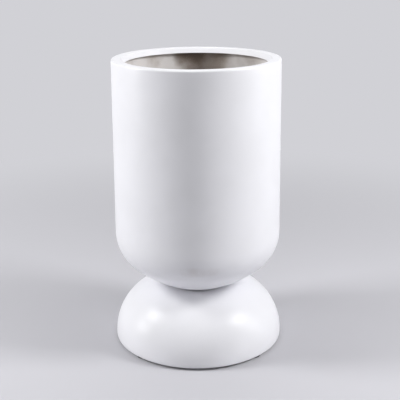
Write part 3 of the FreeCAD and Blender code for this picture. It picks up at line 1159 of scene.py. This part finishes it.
@dataclass
class NeckJoint:
    """What holds the pot on the base: gasket, backing ring, bolts, washers and nuts."""

    gasket: RingSize = (20.0, 62.0, 134.2, 136.2)
    backing: RingSize = (27.0, 60.0, 113.2, 116.2)
    seal_washer: RingSize = (4.5, 11.0, 156.2, 158.2)
    load_washer: RingSize = (4.5, 11.0, 158.2, 159.8)
    flats: float = 13.0
    bolt_radius: float = 4.0
    bolt_tip: float = 101.2
    tip_bevel: float = 0.8
    shank_into_head: float = 1.5
    head_seat: float = 159.8
    head_top: float = 165.1
    head_face: float = 6.3
    head_bevel: float = 0.75
    washer_face: float = 0.3
    nut_low: float = 105.2
    nut_high: float = 113.2
    nut_bore: float = 4.1
    collar: float = 6.05
    thread_top: float = 123.0
    pitch: float = 1.25
    thread_depth: float = 0.62
    sides: int = 48

    @property
    def first(self) -> Point:
        """Where the first bolt stands."""
        return on_circle(BOLT_CIRCLE, BOLT_ANGLES[0])

    @property
    def corner(self) -> float:
        """The radius to the corners of bolt heads and nuts."""
        return hex_corner(self.flats)

    def build_plate(self, name: str, sizes: RingSize, soft: float) -> bpy.types.Object:
        """Models a flat ring with the bolt holes through it.

        Args:
            name: The piece's name.
            sizes: Its radii and the heights of its faces.
            soft: How far its edges are softened.

        Returns:
            The plate.
        """
        _, _, low, high = sizes
        plate = Bench.turn(name, Profile.ring(*sizes, soft), 192)
        drill_bolt_holes(plate, low, high)
        return plate

    def build_washers(self, name: str, sizes: RingSize, soft: float) -> bpy.types.Object:
        """Models a washer and copies it to the other bolts."""
        washer = Bench.turn(name, Profile.ring(*sizes, soft), 64, self.first)
        return around(name, washer)

    def build_bolts(self) -> bpy.types.Object:
        """Models a bolt with a chamfered head and a rolled thread, and copies it.

        Returns:
            The three bolts.
        """
        seat, top, face, past_corner = self.head_seat, self.head_top, self.head_face, self.corner + 0.1
        blank = Profile().run(POLE, seat).run(face, seat).run(face, seat + self.washer_face)
        blank.run(past_corner, seat + self.washer_face).run(past_corner, top - self.head_bevel)
        blank.run(face - 0.2, top).run(POLE, top)
        bolt = Bench.turn("bolt", blank, self.sides, self.first)
        Bench.cut(bolt, Bench.rod(self.corner, seat - 1, top + 1, self.first, 6), Cut.TO)
        tip, radius, shank_top = self.bolt_tip, self.bolt_radius, seat + self.shank_into_head
        shank = Profile().run(POLE, tip).run(radius - self.tip_bevel, tip).run(radius, tip + self.tip_bevel)
        shank.run(radius, self.thread_top, step=self.pitch / 7)
        shank.run(radius, shank_top).run(POLE, shank_top)
        rod = Bench.turn("shank", shank, self.sides, self.first)
        Bench.thread(rod, self.first, radius, self.pitch, self.thread_depth, (tip + 0.2, self.thread_top))
        Bench.cut(bolt, rod, Cut.JOIN)
        return around("bolts", bolt)

    def build_nuts(self) -> bpy.types.Object:
        """Models a lock nut with its turned collar and copies it.

        Returns:
            The three nuts.
        """
        low, high, bore, past_corner = self.nut_low, self.nut_high, self.nut_bore, self.corner + 0.1
        blank = Profile().run(bore, low + 4).run(bore, low + 0.5).run(bore + 0.8, low).run(5.5, low)
        blank.run(self.collar, low + 0.55).run(self.collar, low + 1.9).run(6.5, low + 2.0)
        blank.run(past_corner, low + 2.6).run(past_corner, high - 0.6).run(6.4, high)
        blank.run(bore + 0.7, high).run(bore, high - 0.7).run(bore, low + 4)
        nut = Bench.turn("nut", blank, self.sides, self.first)
        Bench.cut(nut, Bench.rod(self.corner, low - 1, high + 1, self.first, 6), Cut.TO)
        return around("locking_nuts", nut)

    def build(
        self, rubber: bpy.types.Material, brown: bpy.types.Material, steel: bpy.types.Material
    ) -> None:
        """Models the joint's pieces and dresses them.

        Args:
            rubber: The seal washers' material.
            brown: The gasket's material.
            steel: The material of bolts, nuts, steel washers and backing plate.
        """
        gasket = self.build_plate("neck_gasket", self.gasket, 0.6)
        backing = self.build_plate("backing_plate", self.backing, 0.4)
        seal_washers = self.build_washers("rubber_washers", self.seal_washer, 0.6)
        load_washers = self.build_washers("steel_washers", self.load_washer, 0.35)
        rows = [
            (gasket, "joint_gasket", "dark_rubber", brown),
            (backing, "backing_ring", "steel", steel),
            (seal_washers, "seal_washers", "dark_rubber", rubber),
            (load_washers, "load_washers", "steel", steel),
            (self.build_bolts(), "clamp_bolts", "steel", steel),
            (self.build_nuts(), "lock_nuts", "steel", steel),
        ]
        for piece, node, slot, finish in rows:
            Bench.smooth(piece)
            place_piece(piece, node, finish)


@dataclass
class Drain:
    """The drain through the neck: sleeve, its nut and seal, and the plug that lifts out."""

    bore: float = 13.0
    sleeve_radius: float = 16.0
    flange_radius: float = 24.0
    flange_low: float = 158.2
    flange_top: float = 161.2
    sleeve_foot: float = 103.2
    thread_top: float = 131.0
    pitch: float = 2.0
    thread_depth: float = 0.9
    sleeve_soft: float = 0.7
    mouth_bevel: float = 1.2
    seal: RingSize = (16.5, 24.0, 156.2, 158.2)
    nut_flats: float = 44.0
    nut_low: float = 107.2
    nut_high: float = 116.2
    nut_bore: float = 16.1
    nut_bevel: float = 0.9
    nut_edge_bevel: float = 1.5
    plug_head: float = 20.0
    plug_top: float = 165.7
    plug_tip: float = 143.2
    head_edge: float = 163.4
    stem_top: float = 12.7
    stem_tip: float = 11.5
    ribs: Point = (148.5, 154.0)
    groove: Point = (12.0, 14.0)
    groove_depth: float = 0.5
    tab_width: float = 26.0
    tab_thickness: float = 5.0
    tab_root: float = 1.5
    tab_eye: float = 176.7
    tab_hole: float = 7.5
    tab_soft: float = 1.0
    sides: int = 96

    def build_sleeve(self) -> bpy.types.Object:
        """Models the flanged sleeve with its outside thread.

        Returns:
            The sleeve.
        """
        bore, radius, foot, thread_foot = self.bore, self.sleeve_radius, self.sleeve_foot, 104.5
        inside = (bore, 130.0)
        outline = Profile().run(*inside)
        outline.corners([(bore, foot), (radius, foot), (radius, thread_foot)], self.sleeve_soft)
        outline.run(radius, self.thread_top, step=self.pitch / 7)
        rest = [
            (radius, self.flange_low),
            (self.flange_radius, self.flange_low),
            (self.flange_radius, self.flange_top),
            (bore + self.mouth_bevel, self.flange_top),
            (bore, self.flange_top - self.mouth_bevel),
            inside,
        ]
        outline.corners(rest, self.sleeve_soft)
        sleeve = Bench.turn("drain_tube", outline, self.sides)
        span = (thread_foot + 0.1, self.thread_top)
        Bench.thread(sleeve, (0.0, 0.0), radius, self.pitch, self.thread_depth, span)
        return sleeve

    def build_nut(self) -> bpy.types.Object:
        """Models the sleeve's large nut.

        Returns:
            The nut.
        """
        low, high, bore, bevel = self.nut_low, self.nut_high, self.nut_bore, self.nut_bevel
        corner = hex_corner(self.nut_flats)
        edge, past_corner = self.nut_flats / 2 + 0.4, corner + 0.1
        blank = Profile().run(bore, low + 4).run(bore, low + bevel).run(bore + bevel, low).run(edge, low)
        blank.run(past_corner, low + self.nut_edge_bevel).run(past_corner, high - self.nut_edge_bevel)
        blank.run(edge, high).run(bore + bevel, high).run(bore, high - bevel).run(bore, low + 4)
        nut = Bench.turn("drain_tube_nut", blank, self.sides)
        Bench.cut(nut, Bench.rod(corner, low - 1, high + 1, sides=6), Cut.TO)
        limit = math.radians(35)
        Bench.apply(nut, "BEVEL", width=0.5 * MM, segments=2, limit_method="ANGLE", angle_limit=limit)
        return nut

    def build_plug(self) -> bpy.types.Object:
        """Models the rubber plug: ribbed stem, head and holed pull tab.

        Returns:
            The plug.
        """
        tip, under, top = self.plug_tip, self.flange_top, self.plug_top
        outline = Profile().run(POLE, tip)
        outline.corners([(self.stem_tip, tip), (self.stem_tip + 0.1, tip + 2.4)], 1.4)
        for rib in self.ribs:
            share = (rib - tip) / (under - tip)
            stem = self.stem_tip + share * (self.stem_top - self.stem_tip)
            valley, crest = stem - 0.05, stem + 0.2
            outline.run(valley, rib - 1.0).run(crest, rib - 0.4).run(crest, rib + 0.4).run(valley, rib + 1.0)
        head, (inner, outer) = self.plug_head, self.groove
        outline.corners([(self.stem_top, under), (head, under), (head, self.head_edge)], 0.5)
        outline.corners([(head, top), (outer, top)], 1.6)
        outline.run(outer - 0.6, top - self.groove_depth).run(inner + 0.6, top - self.groove_depth)
        outline.run(inner, top).run(POLE, top)
        plug = Bench.turn("plug", outline, self.sides)
        Bench.cut(plug, self.build_tab(), Cut.JOIN)
        return plug

    def build_tab(self) -> bpy.types.Object:
        """Models the pull tab: an arch with a round hole and softened edges.

        Returns:
            The tab.
        """
        half = self.tab_width / 2
        low = self.plug_top - self.tab_root
        Bench.clear()
        bpy.ops.mesh.primitive_cube_add(size=MM, location=(0.0, 0.0, (low + self.tab_eye) / 2 * MM))
        bpy.context.object.scale = (self.tab_width, self.tab_thickness, self.tab_eye - low)
        tab = Bench.settle("tab")
        right_through = 4 * self.tab_thickness
        for radius, thickness, cut in (
            (half, self.tab_thickness, Cut.JOIN),
            (self.tab_hole, right_through, Cut.AWAY),
        ):
            Bench.clear()
            bpy.ops.mesh.primitive_cylinder_add(
                vertices=64,
                radius=radius * MM,
                depth=thickness * MM,
                location=(0.0, 0.0, self.tab_eye * MM),
                rotation=(math.radians(90), 0.0, 0.0),
            )
            Bench.cut(tab, Bench.settle("tool"), cut)
        width, limit = self.tab_soft * MM, math.radians(40)
        Bench.apply(tab, "BEVEL", width=width, segments=3, limit_method="ANGLE", angle_limit=limit)
        return tab

    def build(
        self, rubber: bpy.types.Material, plug_rubber: bpy.types.Material, plastic: bpy.types.Material
    ) -> None:
        """Models the drain's pieces and dresses them.

        Args:
            rubber: The seal's material.
            plug_rubber: The plug's material.
            plastic: The material of the sleeve and its nut.
        """
        seal = Bench.turn("drain_tube_seal", Profile.ring(*self.seal, 0.6), 128)
        rows = [
            (seal, "sleeve_seal", "dark_rubber", rubber, Body.PLANTER),
            (self.build_sleeve(), "drain_sleeve", "drain_plastic", plastic, Body.PLANTER),
            (self.build_nut(), "sleeve_nut", "drain_plastic", plastic, Body.PLANTER),
            (self.build_plug(), "drain_plug", "plug_rubber", plug_rubber, Body.PLUG),
        ]
        for piece, node, slot, finish, body in rows:
            Bench.smooth(piece)
            place_piece(piece, node, finish, body)


@dataclass
class Feet:
    """Four rubber pads under the base's lower edge."""

    radius: float = 12.0
    bevel: float = 1.2
    height: float = 5.3
    circle: float = 171.69
    grooves: tuple[float, ...] = (3.2, 6.2, 9.2)
    groove_depth: float = 0.6
    angles: tuple[float, ...] = (45.0, 135.0, 225.0, 315.0)

    def build(self, rubber: bpy.types.Material) -> None:
        """Models a pad with a grooved tread and copies it.

        Args:
            rubber: The pads' material.
        """
        outline = Profile().run(POLE, 0.0)
        edge, bottom = 0.5, 0.2
        for groove in self.grooves:
            outline.run(groove - edge, 0.0).run(groove - bottom, self.groove_depth)
            outline.run(groove + bottom, self.groove_depth).run(groove + edge, 0.0)
        outline.run(self.radius - self.bevel, 0.0).run(self.radius, self.bevel)
        outline.corners([(self.radius, self.height), (POLE, self.height)], 0.4)
        first = self.angles[0]
        pad = Bench.turn("foot", outline, 64, on_circle(self.circle, first))
        feet = Bench.copies("feet", pad, [angle - first for angle in self.angles])
        Bench.smooth(feet)
        place_piece(feet, "foot_pads", rubber)


# ------------------------------------------------------------------------------------------------- studio


@dataclass(frozen=True)
class SoftLight:
    """A square soft light, aimed at the middle of the planter.

    Args:
        name: Its name.
        azimuth: Where it stands, in degrees from the camera's side towards +X.
        elevation: How high it stands, in degrees.
        distance: How far it stands from the planter's middle, in metres.
        size: Its side in metres.
        power: Its power in watts.
    """

    name: str
    azimuth: float
    elevation: float
    distance: float
    size: float
    power: float

    def build(self) -> None:
        """Adds the light."""
        lamp = bpy.data.lights.new(self.name, "AREA")
        lamp.shape = "SQUARE"
        lamp.size = self.size
        lamp.energy = self.power
        light = bpy.data.objects.new(self.name, lamp)
        bpy.context.scene.collection.objects.link(light)
        turn, rise = math.radians(self.azimuth), math.radians(self.elevation)
        way = Vector((math.sin(turn) * math.cos(rise), -math.cos(turn) * math.cos(rise), math.sin(rise)))
        light.location = Vector((0.0, 0.0, 0.32)) + way * self.distance
        light.rotation_mode = "QUATERNION"
        light.rotation_quaternion = way.to_track_quat("Z", "Y")
        light.visible_camera = False


@dataclass
class Studio:
    """Floor, backdrop, lights and camera."""

    place: tuple[float, float, float] = (0.005677, -1.704074, 0.873830)
    pitch: float = 0.31529963
    roll: float = -0.00763971
    lens: float = 73.16985
    wall_distance: float = 3.0
    sweep: float = 1.2
    wall_height: float = 4.0
    half_width: float = 6.0
    front: float = -4.0
    paper: Colour = (0.53, 0.527, 0.558)
    pale_paper: float = 1.02
    haze: Colour = (0.638, 0.638, 0.672)
    fade: Point = (0.35, 1.7)
    air: float = 0.02
    lights: list[SoftLight] = field(
        default_factory=lambda: [
            SoftLight("right_head", 75, 35, 2.4, 0.6, 32.5),
            SoftLight("right_high", 70, 35, 2.4, 1.4, 8.0),
            SoftLight("right_low", 84, 10, 2.4, 0.6, 9.5),
            SoftLight("left_head", -86, 35, 2.4, 0.6, 31.0),
            SoftLight("left_low", -86, 10, 2.4, 0.6, 17.5),
            SoftLight("front", 0, 40, 2.4, 1.4, 6.5),
            SoftLight("front_low", 0, 12, 2.4, 1.4, 2.2),
            SoftLight("overhead", 0, 88, 2.4, 1.8, 8.5),
            SoftLight("back_high", 180, 75, 2.4, 1.4, 11.0),
        ]
    )

    def build(self) -> None:
        """Builds the studio."""
        self.build_backdrop()
        self.build_world()
        for light in self.lights:
            light.build()
        self.build_camera()

    def build_backdrop(self) -> None:
        """Models the floor and the wall behind it as one curved sheet."""
        Bench.clear()
        bpy.ops.mesh.primitive_plane_add(size=1.0, location=(0.0, 0.0, 0.0))
        depth = self.wall_distance - self.sweep - self.front
        bpy.context.object.scale = (2 * self.half_width, depth, 1.0)
        bpy.context.object.location = (0.0, self.front + depth / 2, 0.0)
        floor = Bench.settle("backdrop")
        bpy.ops.object.mode_set(mode="EDIT")
        bpy.ops.mesh.select_mode(type="EDGE")
        bpy.ops.mesh.select_all(action="DESELECT")
        bpy.ops.object.mode_set(mode="OBJECT")
        far, close = self.wall_distance - self.sweep, 1e-4
        for edge in floor.data.edges:
            edge.select = all(abs(floor.data.vertices[v].co.y - far) < close for v in edge.vertices)
        bpy.ops.object.mode_set(mode="EDIT")
        steps = 16
        last = (far, 0.0)
        for i in range(1, steps + 1):
            turn = math.radians(90 * i / steps)
            here = (far + self.sweep * math.sin(turn), self.sweep * (1 - math.cos(turn)))
            move = (0.0, here[0] - last[0], here[1] - last[1])
            bpy.ops.mesh.extrude_region_move(TRANSFORM_OT_translate={"value": move})
            last = here
        rise = (0.0, 0.0, self.wall_height - self.sweep)
        bpy.ops.mesh.extrude_region_move(TRANSFORM_OT_translate={"value": rise})
        bpy.ops.object.mode_set(mode="OBJECT")
        Bench.smooth(floor)
        graph = Graph(bpy.data.materials.new("backdrop_paper"))
        pale = rgba(*(self.pale_paper * part for part in self.paper))
        paper = graph.blend(graph.noise(size=400, detail=1), rgba(*self.paper), pale)
        floor.data.materials.append(graph.finish(paper, 0.9, None, 0.0))
        x, y, _ = graph.axes()
        away = (x * x + y * y).root().ramp(*self.fade)
        glow = graph.node("ShaderNodeEmission", None, {"Color": rgba(*self.haze), "Strength": 1.0})
        graph.show(away * graph.seen(), graph.nodes["Principled BSDF"].outputs[0], glow.outputs[0])

    def build_world(self) -> None:
        """Sets the even light from all round, and the pale haze that is seen past the paper."""
        world = bpy.data.worlds.new("studio_air")
        bpy.context.scene.world = world
        graph = Graph(world)
        air = graph.nodes["Background"]
        graph.fill(air, {"Color": rgba(*self.haze), "Strength": self.air})
        haze = graph.node("ShaderNodeBackground", None, {"Color": rgba(*self.haze), "Strength": 1.0})
        graph.show(graph.seen(), air.outputs[0], haze.outputs[0])

    def build_camera(self) -> None:
        """Sets up the camera."""
        lens = bpy.data.cameras.new("camera")
        lens.lens = self.lens
        camera = bpy.data.objects.new("camera", lens)
        bpy.context.scene.collection.objects.link(camera)
        rise, tip = math.cos(self.pitch), math.sin(self.pitch)
        ahead = Vector((0.0, rise, -tip))
        over = Vector((0.0, tip, rise))
        right = Vector((1.0, 0.0, 0.0))
        side = math.cos(self.roll) * right + math.sin(self.roll) * over
        top = math.cos(self.roll) * over - math.sin(self.roll) * right
        turn = Matrix((side, top, -ahead)).transposed()
        camera.matrix_world = Matrix.Translation(self.place) @ turn.to_4x4()
        bpy.context.scene.camera = camera


def main() -> None:
    """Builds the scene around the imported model."""
    logging.basicConfig(level=logging.INFO, format="%(name)s: %(message)s")
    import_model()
    bpy.context.scene.view_settings.view_transform = "Standard"
    moulding = MouldingFinish().make()
    Pot().build(moulding)
    Base().build(moulding)
    black = RubberFinish("black_rubber", (0.022, 0.021, 0.020), (0.10, 0.095, 0.09)).make()
    brown = RubberFinish("brown_rubber", (0.17, 0.125, 0.10), (0.24, 0.19, 0.16)).make()
    grey = RubberFinish("grey_rubber", (0.12, 0.12, 0.125), (0.22, 0.215, 0.21)).make()
    steel = SteelFinish().make()
    plastic = PlasticFinish().make()
    NeckJoint().build(black, brown, steel)
    Drain().build(black, grey, plastic)
    Feet().build(black)
    Studio().build()


if __name__ == "__main__":
    main()
